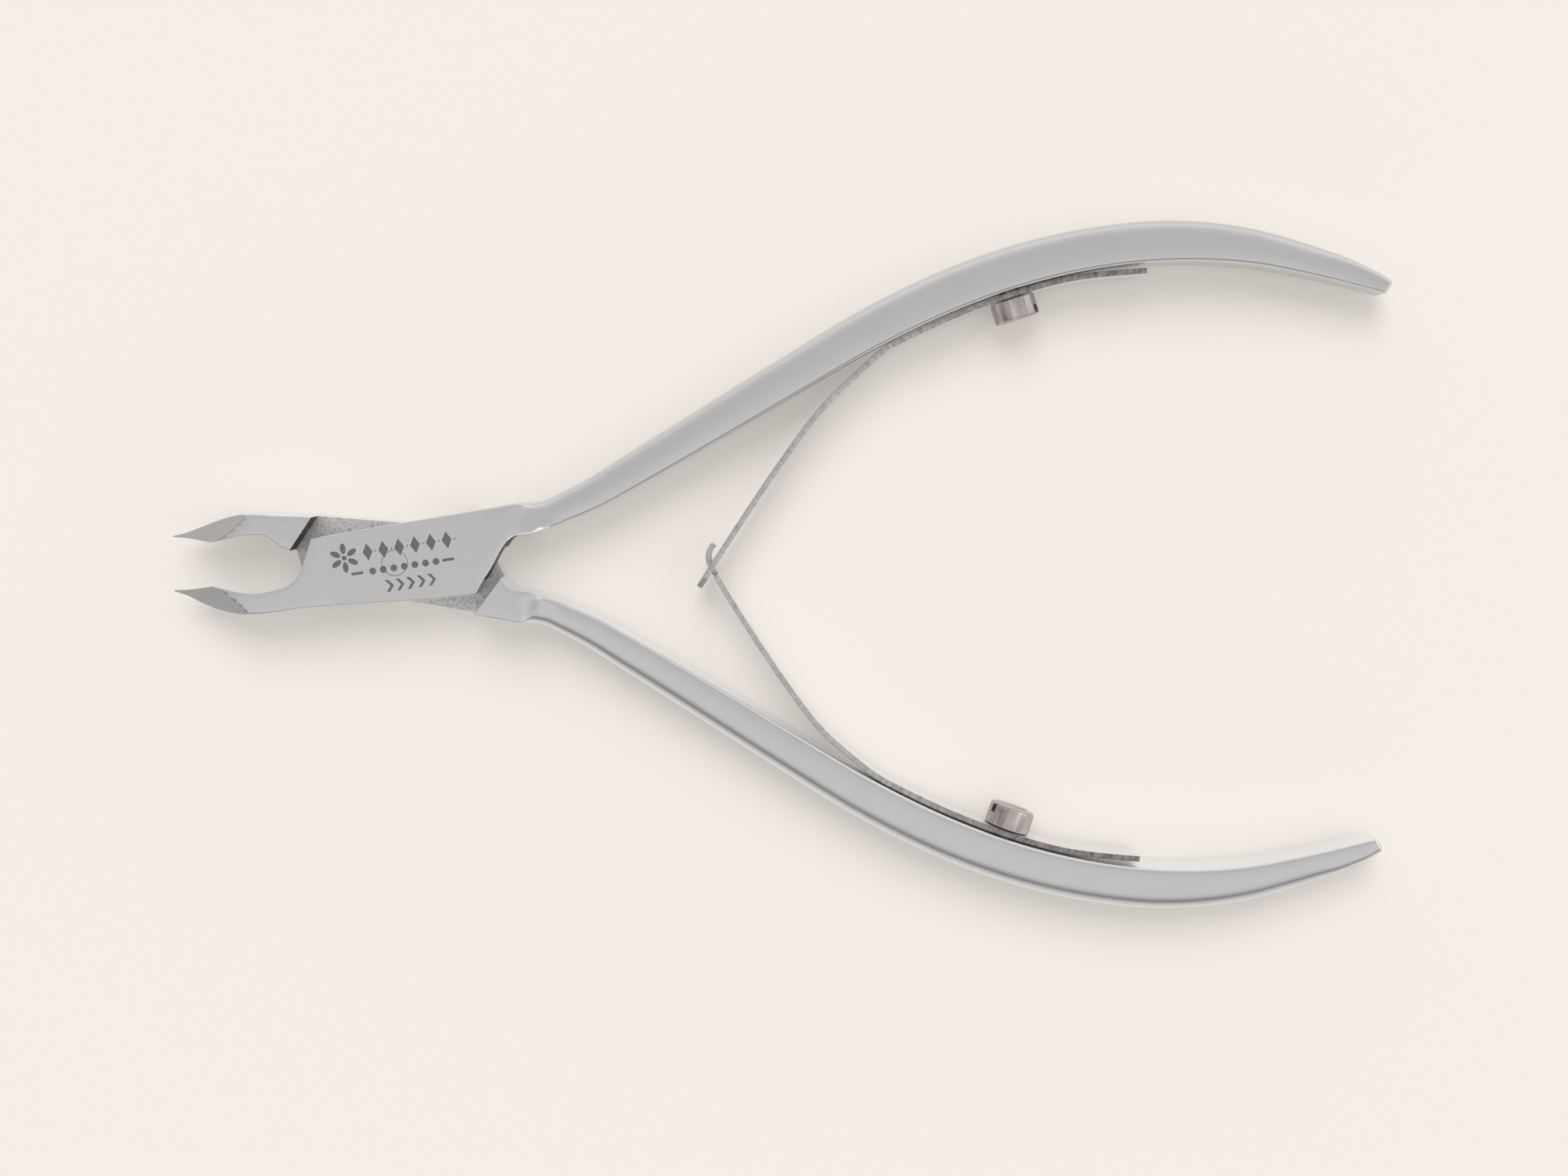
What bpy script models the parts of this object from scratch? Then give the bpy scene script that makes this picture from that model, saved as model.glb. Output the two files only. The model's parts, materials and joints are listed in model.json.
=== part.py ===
"""Cuticle nipper, in millimetres until a mesh is made.

Two forged halves cross at a lap joint on a flush rivet. A leaf spring is screwed to the inside of
each handle, and the two leaves hook into each other between the handles to hold the jaws open.
The origin is on the rivet's axis in the plane of the back faces, +X points to the handles and
+Z to the marked face. The object rests open.
"""

import math

import bmesh
import bpy
import numpy as np
from mathutils import Matrix, Vector

MM = 0.001
ARC_STEPS = 4

# Lap joint
JOINT_DEPTH = 5.6
LAP_GAP = 0.1
RIVET_DIAMETER = 2.44
RIVET_CLEARANCE = 0.1
# The steps either side of each half's lap: left and right, each from its lower point to its upper one
SHOULDERS = {
    1: (((-8.25, -4.09), (-10.15, -1.17)), ((9.8, 1.61), (7.6, 4.6))),
    -1: (((-9.8, 1.17), (-7.9, 4.09)), ((7.6, -4.6), (9.8, -1.61))),
}

# Jaw: both cutting edges lie on lines through the rivet, and each jaw leans off the handles' bisector
EDGE_ANGLE = 6.75
TIP_REACH = 21.58
HEEL_REACH = 17.47
JAW_LEAN = 0.97
FACET_OUTER = (-13.6, -4.8)
FACET_INNER = (-17.0, -2.05)
EDGE_HEIGHT_AT_TIP = JOINT_DEPTH / 2 + 0.12
EDGE_RELIEF = 0.9
# Each half was filed to its own line down the jaw's back and round the jaw's root
JAW_BACK = {
    1: ((-20.1, -3.0), (-18.6, -3.68), (-17.2, -4.2), (-16.0, -4.48), (-14.8, -4.66)),
    -1: ((-20.1, -2.93), (-18.6, -3.45), (-17.2, -3.95), (-16.0, -4.32), (-14.8, -4.6)),
}
JAW_ROOT = {
    1: ((-11.4, -2.5), (-10.3, -2.3), (-9.3, -1.6), (-8.75, -0.6), (-8.45, 0.4), (-7.88, 2.26)),
    -1: ((-11.5, -2.25), (-10.6, -1.55), (-9.85, -1.15), (-9.5, -0.1), (-9.2, 0.8), (-7.88, 2.26)),
}

# Handle: the outer side's course, and the bar's width along it
HANDLE_OUTER = (
    (14.1, 5.95), (17.8, 7.9), (21.5, 10.26), (28.9, 14.92), (36.3, 19.57), (43.7, 24.05), (51.1, 27.7),
    (58.5, 30.35), (66.0, 31.98), (73.3, 32.55), (80.7, 31.8), (88.0, 29.72), (91.8, 28.1), (93.5, 27.15),
)
HANDLE_WIDTH = (
    (14, 2.6), (21, 3.2), (29, 3.57), (36, 3.75), (51, 4.0), (66, 3.97), (73, 3.9), (80.5, 3.45),
    (88, 2.65), (91.5, 2.05), (93.5, 1.5),
)

# Depth and rounding of a half by its place along X
LOW_FACE = ((-21.5, 1.2), (-13, 0), (12, 0), (16, 0.5), (24, 0.5), (48, 0), (72, 0), (93, 0.9))
OUTER_ROUND = (
    (-20, 0.12), (-14, 0.35), (-9, 0.12), (11, 0.12), (14, 0.6), (20, 1.15), (85, 1.15), (93, 0.7),
)
INNER_ROUND = ((-20, 0.05), (-9, 0.1), (12, 0.12), (17, 0.35), (30, 0.5), (80, 0.45), (93, 0.3))

# Leaf springs
LEAF_THICKNESS = 0.55
LEAF_WIDTH = 4.2
LEAF_STANDOFF = 0.12
LEAF_BASE = (46.0, 70.4)
LEAF_END_LIFT = 0.3
FLEX_GAP = 0.3
UPPER_FLEX = (43.9, 18.55)
LOWER_FLEX = (43.9, -18.95)
UPPER_BLADE = ((40.0, 14.7), (36.3, 9.75), (32.65, 4.3), (29.65, -0.4), (28.5, -2.25))
LOWER_BLADE = ((40.0, -15.5), (36.3, -10.7), (32.6, -5.2), (31.0, -2.65), (30.1, -1.15))
TONGUE = ((29.72, -0.55), (29.42, 0.05), (29.34, 0.7), (29.5, 1.3), (29.85, 1.8))
WINDOW_CENTRE = (29.57, -0.45)
WINDOW_LENGTH = 2.1
WINDOW_WIDTH = 2.2
TONGUE_WIDTH = 1.5
BLADE_END_WIDTH = 3.4

# Spring screws
SCREW_X = 57.8
HEAD_DIAMETER = 4.3
HEAD_HEIGHT = 2.0
SLOT_WIDTH = 0.6
SLOT_DEPTH = 0.9
SHANK_DIAMETER = 2.3
SHANK_REACH = 3.0
SCREW_CLEARANCE = 0.15


def clear_scene():
    for thing in list(bpy.data.objects):
        bpy.data.objects.remove(thing, do_unlink=True)


def metal(name, colour, roughness):
    material = bpy.data.materials.new(name)
    material.use_nodes = True
    shader = material.node_tree.nodes["Principled BSDF"]
    shader.inputs["Base Color"].default_value = (*colour, 1)
    shader.inputs["Metallic"].default_value = 1
    shader.inputs["Roughness"].default_value = roughness
    return material


def along(table, x):
    """The value of a (place, value) table at x, eased between its rows."""
    for (x0, v0), (x1, v1) in zip(table, table[1:]):
        if x < x1:
            t = min(max((x - x0) / (x1 - x0), 0), 1)
            return v0 + (v1 - v0) * t * t * (3 - 2 * t)
    return table[-1][1]


def curve(points, count):
    """count points evenly spaced along a smooth curve through the given ones."""
    given = np.array(points, float)
    if len(given) > 2:
        ends = np.vstack([2 * given[0] - given[1], given, 2 * given[-1] - given[-2]])
        dense = []
        for p0, p1, p2, p3 in zip(ends, ends[1:], ends[2:], ends[3:]):
            for t in np.linspace(0, 1, 24, endpoint=False):
                dense.append(0.5 * (2 * p1 + (p2 - p0) * t + (2 * p0 - 5 * p1 + 4 * p2 - p3) * t**2
                                    + (3 * p1 - p0 - 3 * p2 + p3) * t**3))
        given = np.array([*dense, given[-1]])
    walked = np.concatenate([[0], np.cumsum(np.linalg.norm(np.diff(given, axis=0), axis=1))])
    wanted = np.linspace(0, walked[-1], count)
    return np.stack([np.interp(wanted, walked, given[:, i]) for i in (0, 1)], axis=1)


def left_of(points):
    """Unit vectors to the left of a course, one at each of its points."""
    steps = np.gradient(points, axis=0)
    steps /= np.linalg.norm(steps, axis=1)[:, None]
    return np.stack([-steps[:, 1], steps[:, 0]], axis=1)


def mesh_object(name, shape, material, origin=(0, 0, 0)):
    """An object from a bmesh in millimetres, its own origin at a place in the same frame."""
    shape.normal_update()
    bmesh.ops.recalc_face_normals(shape, faces=shape.faces)
    shape.transform(Matrix.Scale(MM, 4) @ Matrix.Translation(-Vector(origin)))
    mesh = bpy.data.meshes.new(name)
    shape.to_mesh(mesh)
    shape.free()
    mesh.materials.append(material)
    made = bpy.data.objects.new(name, mesh)
    made.location = Vector(origin) * MM
    bpy.context.collection.objects.link(made)
    return made


def skin(rings):
    """A closed surface through rings that hold the same number of points."""
    shape = bmesh.new()
    loops = [[shape.verts.new(point) for point in ring] for ring in rings]
    for near, far in zip(loops, loops[1:]):
        for i in range(len(near)):
            j = (i + 1) % len(near)
            shape.faces.new((near[i], near[j], far[j], far[i]))
    shape.faces.new(reversed(loops[0]))
    shape.faces.new(loops[-1])
    return shape


def prism(outline, low, high):
    return skin([[(x, y, z) for x, y in outline] for z in (low, high)])


def rod(radius, start, end, steps=40):
    """A round bar between two points."""
    axis = Vector(end) - Vector(start)
    shape = bmesh.new()
    bmesh.ops.create_cone(
        shape, cap_ends=True, segments=steps, radius1=radius, radius2=radius, depth=axis.length,
    )
    turn = axis.to_track_quat("Z", "Y").to_matrix().to_4x4()
    shape.transform(Matrix.Translation((Vector(start) + Vector(end)) / 2) @ turn)
    return shape


def slab_beyond(a, b, c, size=40, thickness=12):
    """A block whose lower face lies in the plane through three points, on the side its normal faces."""
    a, b, c = Vector(a), Vector(b), Vector(c)
    across = (b - a).normalized()
    up = across.cross(c - a).normalized()
    ahead = up.cross(across)
    shape = bmesh.new()
    bmesh.ops.create_cube(shape, size=1)
    frame = Matrix((across, ahead, up)).transposed().to_4x4()
    move = Matrix.Translation(a + up * thickness / 2)
    shape.transform(move @ frame @ Matrix.Diagonal((size, size, thickness, 1)))
    return shape


def cut(target, name, shape):
    """Cuts a shape out of the target with a hidden cutter."""
    cutter = mesh_object(name, shape, target.data.materials[0])
    cutter.hide_render = True
    cutter.display_type = "WIRE"
    modifier = target.modifiers.new(name, "BOOLEAN")
    modifier.object = cutter
    modifier.operation = "DIFFERENCE"
    modifier.solver = "EXACT"


def shade(target, angle=28):
    """Smooth shading that keeps edges sharper than the angle."""
    target.data.shade_smooth()
    target.data.set_sharp_from_angle(angle=math.radians(angle))


def reach(distance, angle):
    """A point on the jaw's side at a distance from the rivet, below the bisector by an angle."""
    return (-distance * math.cos(math.radians(angle)), -distance * math.sin(math.radians(angle)))


def handle_sides(count):
    """(inner, outer) sides of the handle, from the neck to the end, for the half whose handle is at +Y."""
    outer = curve(HANDLE_OUTER, count)
    widths = np.interp(outer[:, 0], *curve(HANDLE_WIDTH, 400).T)
    return outer - left_of(outer) * widths[:, None], outer


def half_sides(side, lean):
    """Matched points down both sides of a half, from the tip of its jaw at -Y to its handle's end at +Y."""
    jaw_back, root = JAW_BACK[side], JAW_ROOT[side]
    tip = reach(TIP_REACH, EDGE_ANGLE)
    heel = reach(HEEL_REACH, EDGE_ANGLE)
    inner, outer = handle_sides(44)
    runs = (
        # the cutting edge, and the jaw's back
        ((tip, heel), ((tip[0] - 0.02, tip[1] - 0.1), *jaw_back[:3]), 8),
        # the hollow behind the heel
        ((heel, (-15.9, -2.36), (-14.6, -2.66), (-13.3, -2.77), (-12.2, -2.7), root[0]),
         (*jaw_back[2:], (-13.5, -4.74), (-12.3, -4.69), (-11.4, -4.58)), 14),
        # the root of the jaw and the plate's left edge
        (root, ((-11.4, -4.58), (-9.6, -4.4), (-7.6, -4.22), (-5.6, -4.07)), 16),
        # the plate's long edges
        ((root[-1], (-3.83, 3.0), (2.0, 3.97), (8.2, 5.03)),
         ((-5.6, -4.07), (0.0, -3.66), (4.08, -3.32), (7.62, -2.9)), 8),
        # the plate's right edge
        (((8.2, 5.03), (9.6, 5.3), (11.2, 5.58)),
         ((7.62, -2.9), (9.0, -0.45), (9.8, 1.05), (10.45, 2.05)), 7),
        # the neck, where the plate turns into the handle
        (((11.2, 5.58), (12.7, 5.62), outer[0]), ((10.45, 2.05), (11.3, 2.62), (12.8, 2.84), inner[0]), 7),
    )
    edge_side = [curve(edge, count)[:-1] for edge, _, count in runs]
    back_side = [curve(back, count)[:-1] for _, back, count in runs]
    edge_side = np.vstack([*edge_side, outer])
    back_side = np.vstack([*back_side, inner])
    for side in (edge_side, back_side):
        for point in side:
            angle = -math.radians(lean * along(((-12.0, 1), (-8.0, 0)), point[0]))
            c, s = math.cos(angle), math.sin(-angle)
            point[:] = c * point[0] - s * point[1], s * point[0] + c * point[1]
    return edge_side, back_side


def section(edge, back, relief, x):
    """One ring round a half: an edge-side point, a back-side point, and the rounding at their corners."""
    low = along(LOW_FACE, x)
    high = JOINT_DEPTH - low
    in_handle = x > 10
    edge_round = along(OUTER_ROUND if in_handle else INNER_ROUND, x)
    back_round = along(INNER_ROUND if in_handle else OUTER_ROUND, x)
    across = edge - back
    width = np.linalg.norm(across)
    across /= width
    edge_round = min(edge_round, 0.45 * width)
    back_round = min(back_round, 0.45 * width)
    corners = (
        (back, 1, low, 1, back_round, 180),
        (edge - across * relief, -1, low, 1, edge_round, 270),
        (edge, -1, high, -1, edge_round, 0),
        (back, 1, high, -1, back_round, 90),
    )
    ring = []
    for point, inward, z, up, radius, start in corners:
        for step in range(ARC_STEPS + 1):
            angle = math.radians(start + 90 * step / ARC_STEPS)
            flat = point + across * (inward * radius + math.cos(angle) * radius)
            ring.append((flat[0], flat[1], z + up * radius + math.sin(angle) * radius))
    return ring


def recess(shoulders, low, high):
    """The space between two shoulders, cut well past the metal on both sides."""
    (left_low, left_high), (right_low, right_high) = [[Vector(point) for point in pair] for pair in shoulders]
    left = (left_high - left_low).normalized() * 4
    right = (right_high - right_low).normalized() * 4
    outline = (left_low - left, right_low - right, right_high + right, left_high + left)
    return prism(outline, low, high)


def half(name, material, side, lean):
    """A forged half. side is 1 for the half whose handle is at +Y and whose lap is the front one."""
    edge_side, back_side = half_sides(side, lean)
    tip_x, heel_x = edge_side[0][0], edge_side[7][0]
    rings = []
    for edge, back in zip(edge_side, back_side):
        toward_heel = min(max((edge[0] - tip_x) / (heel_x - tip_x), 0), 1)
        fading = along(((heel_x, 1), (-11.0, 0)), edge[0])
        x = max(edge[0], back[0]) if edge[0] > 8 else edge[0]
        rings.append(section(edge, back, EDGE_RELIEF * toward_heel * fading, x))
    for ahead, shrink in ((0.28, 0.86), (0.42, 0.55)):
        rings.append(end_ring(rings[len(edge_side) - 1], ahead, shrink))
    if side < 0:
        rings = [[(x, -y, z) for x, y, z in ring] for ring in rings]
    made = mesh_object(name, skin(rings), material)
    shade(made)
    cut_facets(made, side, lean)
    middle = JOINT_DEPTH / 2
    if side > 0:
        cut(made, "front_recess_cutter", recess(SHOULDERS[side], -1, middle + LAP_GAP / 2))
    else:
        cut(made, "back_recess_cutter", recess(SHOULDERS[side], middle - LAP_GAP / 2, JOINT_DEPTH + 1))
    bore = RIVET_DIAMETER / 2 + RIVET_CLEARANCE
    cut(made, name + "_bore_cutter", rod(bore, (0, 0, -1), (0, 0, JOINT_DEPTH + 1)))
    place, inward = screw_frame(side)
    start = place - inward * (SHANK_REACH + SCREW_CLEARANCE)
    hole = SHANK_DIAMETER / 2 + SCREW_CLEARANCE
    cut(made, name + "_screw_hole_cutter", rod(hole, start, place + inward * 3))
    return made


def end_ring(ring, ahead, shrink):
    """A ring drawn in towards its centre and moved on past the handle's end."""
    points = np.array(ring)
    centre = points.mean(axis=0)
    onward = curve(HANDLE_OUTER, 60)
    onward = onward[-1] - onward[-2]
    onward /= np.linalg.norm(onward)
    moved = centre + (points - centre) * shrink
    moved[:, :2] += onward * ahead
    return moved


def cut_facets(made, side, lean):
    """The ground facet on each face of the jaw, falling from the jaw's flat to the tip."""
    turn = Matrix.Rotation(math.radians(lean), 3, "Z")
    tip = reach(TIP_REACH, EDGE_ANGLE)
    places = [turn @ Vector((*point, 0)) for point in (FACET_OUTER, FACET_INNER, tip)]
    for face in (1, -1):
        corners = []
        for place, is_tip in zip(places, (False, False, True)):
            height = EDGE_HEIGHT_AT_TIP if is_tip else JOINT_DEPTH - along(LOW_FACE, place.x)
            height = height if face > 0 else JOINT_DEPTH - height
            corners.append((place.x, place.y * side, height))
        if side * face < 0:
            corners[0], corners[1] = corners[1], corners[0]
        cut(made, f"{made.name}_facet_cutter_{'front' if face > 0 else 'back'}", slab_beyond(*corners))


def leaf_base_course(side, count):
    """The clamped stretch of a leaf: along the handle's inner wall, lifting off it at its free end."""
    inner, _ = handle_sides(600)
    away = -left_of(inner)
    lift = np.array([LEAF_END_LIFT * along(((62.0, 0), (70.0, 1)), x) for x, _ in inner])
    course = inner + away * (LEAF_STANDOFF + LEAF_THICKNESS / 2 + lift)[:, None]
    course = course[(course[:, 0] > LEAF_BASE[0]) & (course[:, 0] < LEAF_BASE[1])]
    return curve(course, count) * (1, side)


def screw_frame(side):
    """(a point on the handle's inner wall at the screw, the direction into the hand space there)."""
    inner, _ = handle_sides(160)
    nearest = int(np.argmin(abs(inner[:, 0] - SCREW_X)))
    place, away = inner[nearest], -left_of(inner)[nearest]
    return (
        Vector((place[0], place[1] * side, JOINT_DEPTH / 2)),
        Vector((away[0], away[1] * side, 0)),
    )


def strip(course, widths):
    """A flat leaf on edge along a course, as wide in Z as widths says."""
    sides = left_of(course) * LEAF_THICKNESS / 2
    rings = []
    for point, side, width in zip(course, sides, widths):
        low, high = JOINT_DEPTH / 2 - width / 2, JOINT_DEPTH / 2 + width / 2
        left, right = point + side, point - side
        rings.append([(*right, low), (*left, low), (*left, high), (*right, high)])
    return skin(rings)


def parted(course, centre, gap):
    """The stretches of a course before and after a gap about one of its points."""
    nearest = int(np.argmin(np.linalg.norm(course - centre, axis=1)))
    ahead = course[nearest + 1] - course[nearest - 1]
    half_gap = ahead / np.linalg.norm(ahead) * gap / 2
    before = np.vstack([course[:nearest], centre - half_gap])
    after = np.vstack([centre + half_gap, course[nearest + 1:]])
    return before, after


def spring(prefix, side, flex, blade_points, end_points, material):
    """A leaf spring as its clamped base and its free blade, which meet at the flex."""
    base = leaf_base_course(side, 26)
    whole = curve([*blade_points[::-1], flex, *base[::3]], 110)
    free, clamped = parted(whole, flex, FLEX_GAP)
    made_base = mesh_object(prefix + "_spring_base", strip(clamped, [LEAF_WIDTH] * len(clamped)), material)
    place, inward = screw_frame(side)
    hole = rod(SHANK_DIAMETER / 2 + SCREW_CLEARANCE, place - inward, place + inward * 3)
    cut(made_base, prefix + "_spring_hole_cutter", hole)
    if end_points:
        shape = tongued_blade(free, end_points)
    else:
        narrowing = ((28.0, BLADE_END_WIDTH - 0.6), (29.0, BLADE_END_WIDTH), (40.0, LEAF_WIDTH))
        widths = [along(narrowing, x) for x, _ in free]
        shape = strip(free, widths)
    made_blade = mesh_object(prefix + "_spring_blade", shape, material, (*flex, JOINT_DEPTH / 2))
    if not end_points:
        cut(made_blade, "window_cutter", window(free))
    for made in (made_base, made_blade):
        shade(made)
    return made_base, made_blade


def tongued_blade(free, end_points):
    """A blade that narrows at square shoulders to a tongue, which curls up past the other leaf."""
    tongue = curve([free[0], *end_points], 14)[1:]
    course = np.vstack([tongue[::-1], free])
    widths = [TONGUE_WIDTH] * len(tongue)
    widths += [along(((30.0, BLADE_END_WIDTH), (40.0, LEAF_WIDTH)), x) for x, _ in free]
    return strip(course, widths)


def window(free):
    """The slot through the upper blade that the tongue hooks into."""
    near = free[np.argmin(np.linalg.norm(free - WINDOW_CENTRE, axis=1))]
    ahead = free[np.argmin(np.linalg.norm(free - WINDOW_CENTRE, axis=1)) + 3] - near
    ahead = Vector((*ahead, 0)).normalized()
    across = Vector((-ahead.y, ahead.x, 0))
    frame = Matrix((ahead, across, Vector((0, 0, 1)))).transposed().to_4x4()
    shape = bmesh.new()
    bmesh.ops.create_cube(shape, size=1)
    place = Matrix.Translation((*WINDOW_CENTRE, JOINT_DEPTH / 2))
    shape.transform(place @ frame @ Matrix.Diagonal((WINDOW_LENGTH, 4, WINDOW_WIDTH, 1)))
    return shape


def screw(name, side, material):
    """A slotted cheese-head screw, its head on the leaf and its shank in the handle."""
    place, inward = screw_frame(side)
    seat = LEAF_STANDOFF * 2 + LEAF_THICKNESS
    profile = (
        (0, -SHANK_REACH), (SHANK_DIAMETER / 2 - 0.25, -SHANK_REACH),
        (SHANK_DIAMETER / 2, -SHANK_REACH + 0.25),
        (SHANK_DIAMETER / 2, seat), (HEAD_DIAMETER / 2 - 0.15, seat), (HEAD_DIAMETER / 2, seat + 0.15),
        (HEAD_DIAMETER / 2, seat + HEAD_HEIGHT - 0.3), (HEAD_DIAMETER / 2 - 0.3, seat + HEAD_HEIGHT),
        (0, seat + HEAD_HEIGHT),
    )
    shape = bmesh.new()
    points = [shape.verts.new((radius, 0, height)) for radius, height in profile]
    edges = [shape.edges.new(pair) for pair in zip(points, points[1:])]
    bmesh.ops.spin(shape, geom=points + edges, cent=(0, 0, 0), axis=(0, 0, 1), angle=2 * math.pi, steps=40)
    bmesh.ops.remove_doubles(shape, verts=shape.verts, dist=1e-4)
    up = inward
    along_bar = Vector((0, 0, 1)).cross(up)
    frame = Matrix((along_bar, Vector((0, 0, 1)), up)).transposed()
    if frame.determinant() < 0:
        frame = Matrix((-along_bar, Vector((0, 0, 1)), up)).transposed()
    shape.transform(Matrix.Translation(place) @ frame.to_4x4())
    made = mesh_object(name, shape, material)
    shade(made)
    slot = bmesh.new()
    bmesh.ops.create_cube(slot, size=1)
    top = place + up * (seat + HEAD_HEIGHT)
    turned = Matrix.Rotation(math.radians(20 * side), 4, "Z")
    size = Matrix.Diagonal((HEAD_DIAMETER + 1, SLOT_WIDTH, 2 * SLOT_DEPTH, 1))
    slot.transform(Matrix.Translation(top) @ frame.to_4x4() @ turned @ size)
    cut(made, name + "_slot_cutter", slot)
    return made


def rivet(material):
    """The pivot, peened flush with both faces."""
    made = mesh_object("pivot_rivet", rod(RIVET_DIAMETER / 2, (0, 0, 0), (0, 0, JOINT_DEPTH), 48), material)
    shade(made)
    return made


def main():
    clear_scene()
    half("front_half", metal("front_half_steel", (0.52, 0.52, 0.52), 0.34), 1, JAW_LEAN)
    half("back_half", metal("back_half_steel", (0.56, 0.56, 0.56), 0.34), -1, -JAW_LEAN)
    rivet(metal("rivet_steel", (0.48, 0.48, 0.48), 0.3))
    upper_steel = metal("upper_spring_steel", (0.4, 0.39, 0.37), 0.4)
    lower_steel = metal("lower_spring_steel", (0.42, 0.41, 0.39), 0.4)
    spring("upper", 1, UPPER_FLEX, UPPER_BLADE, None, upper_steel)
    spring("lower", -1, LOWER_FLEX, LOWER_BLADE, TONGUE, lower_steel)
    screw("upper_spring_screw", 1, metal("upper_screw_nickel", (0.55, 0.5, 0.48), 0.3))
    screw("lower_spring_screw", -1, metal("lower_screw_nickel", (0.55, 0.5, 0.48), 0.3))


main()
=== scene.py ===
"""Looks for the cuticle nipper: finely modelled halves, springs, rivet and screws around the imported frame.

Outlines are in millimetres, as the metal was drawn, and become metres when a mesh is made.
"""

import json
import math

import bmesh
import bpy
import numpy as np
from mathutils import Matrix, Vector


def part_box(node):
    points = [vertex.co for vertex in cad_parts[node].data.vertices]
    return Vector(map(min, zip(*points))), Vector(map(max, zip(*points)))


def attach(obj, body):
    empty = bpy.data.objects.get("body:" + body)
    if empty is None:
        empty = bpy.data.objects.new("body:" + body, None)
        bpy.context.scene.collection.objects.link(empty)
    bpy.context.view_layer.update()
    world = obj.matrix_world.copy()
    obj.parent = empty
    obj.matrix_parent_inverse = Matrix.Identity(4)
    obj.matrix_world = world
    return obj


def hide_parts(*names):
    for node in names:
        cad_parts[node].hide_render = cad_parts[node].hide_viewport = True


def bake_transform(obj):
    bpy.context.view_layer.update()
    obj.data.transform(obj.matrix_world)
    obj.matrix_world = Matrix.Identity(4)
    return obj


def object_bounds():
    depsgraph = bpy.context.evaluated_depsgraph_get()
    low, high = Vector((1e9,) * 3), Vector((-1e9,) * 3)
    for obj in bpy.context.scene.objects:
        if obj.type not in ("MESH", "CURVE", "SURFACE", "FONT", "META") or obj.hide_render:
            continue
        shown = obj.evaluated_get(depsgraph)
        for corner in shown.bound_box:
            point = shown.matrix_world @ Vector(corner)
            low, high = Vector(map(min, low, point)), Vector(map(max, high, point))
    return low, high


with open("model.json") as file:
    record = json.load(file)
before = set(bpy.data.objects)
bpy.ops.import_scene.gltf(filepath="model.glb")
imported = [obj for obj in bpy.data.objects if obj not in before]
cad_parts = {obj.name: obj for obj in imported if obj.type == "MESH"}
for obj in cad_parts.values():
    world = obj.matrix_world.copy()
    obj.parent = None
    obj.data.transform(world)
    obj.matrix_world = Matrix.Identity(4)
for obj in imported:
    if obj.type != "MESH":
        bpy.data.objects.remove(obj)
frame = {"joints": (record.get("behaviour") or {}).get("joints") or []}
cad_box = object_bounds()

MM = 0.001
# Points left closer together than this by a cut, in metres, become one
WELD = 0.000002
PIVOT_BOX = [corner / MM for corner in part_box("pivot_rivet")]
JOINT_DEPTH = PIVOT_BOX[1].z
MIDDLE = JOINT_DEPTH / 2
RIVET_RADIUS = PIVOT_BOX[1].x
# Where each moving node's joint is, in metres
FLEXES = {joint["child"]: joint["pos_m"] for joint in frame["joints"]}

# Lap joint
LAP_GAP = 0.06
RIVET_FIT = 0.008
# The steps either side of each half's lap: left and right, each from its lower point to its upper one
SHOULDERS = {
    1: (((-8.25, -4.09), (-10.15, -1.17)), ((9.8, 1.61), (7.6, 4.6))),
    -1: (((-9.8, 1.17), (-7.9, 4.09)), ((7.6, -4.6), (9.8, -1.61))),
}

# Jaw
EDGE_ANGLE = 6.75
TIP_REACH = 21.58
HEEL_REACH = 17.47
JAW_LEAN = 0.97
FACET_OUTER = (-13.6, -4.8)
FACET_INNER = (-17.0, -2.05)
EDGE_HEIGHT_AT_TIP = MIDDLE + 0.12
EDGE_RELIEF = 0.9
# Each half was filed to its own line down the jaw's back and round the jaw's root
JAW_BACK = {
    1: ((-20.1, -3.0), (-18.6, -3.68), (-17.2, -4.2), (-16.0, -4.48), (-14.8, -4.66)),
    -1: ((-20.1, -2.93), (-18.6, -3.45), (-17.2, -3.95), (-16.0, -4.32), (-14.8, -4.6)),
}
JAW_ROOT = {
    1: ((-11.4, -2.5), (-10.3, -2.3), (-9.3, -1.6), (-8.75, -0.6), (-8.45, 0.4), (-7.88, 2.26)),
    -1: ((-11.5, -2.25), (-10.6, -1.55), (-9.85, -1.15), (-9.5, -0.1), (-9.2, 0.8), (-7.88, 2.26)),
}

# Handle: the outer side's course, and the bar's width along it
HANDLE_OUTER = (
    (14.1, 5.95), (17.8, 7.9), (21.5, 10.26), (28.9, 14.92), (36.3, 19.57), (43.7, 24.05), (51.1, 27.7),
    (58.5, 30.35), (66.0, 31.98), (73.3, 32.55), (80.7, 31.8), (88.0, 29.72), (91.8, 28.1), (93.5, 27.15),
)
HANDLE_WIDTH = ((14, 2.6), (21, 3.2), (29, 3.57), (36, 3.75), (51, 4.0), (66, 3.97), (73, 3.9),
                (80.5, 3.45), (88, 2.65), (91.5, 2.05), (93.5, 1.5))

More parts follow.
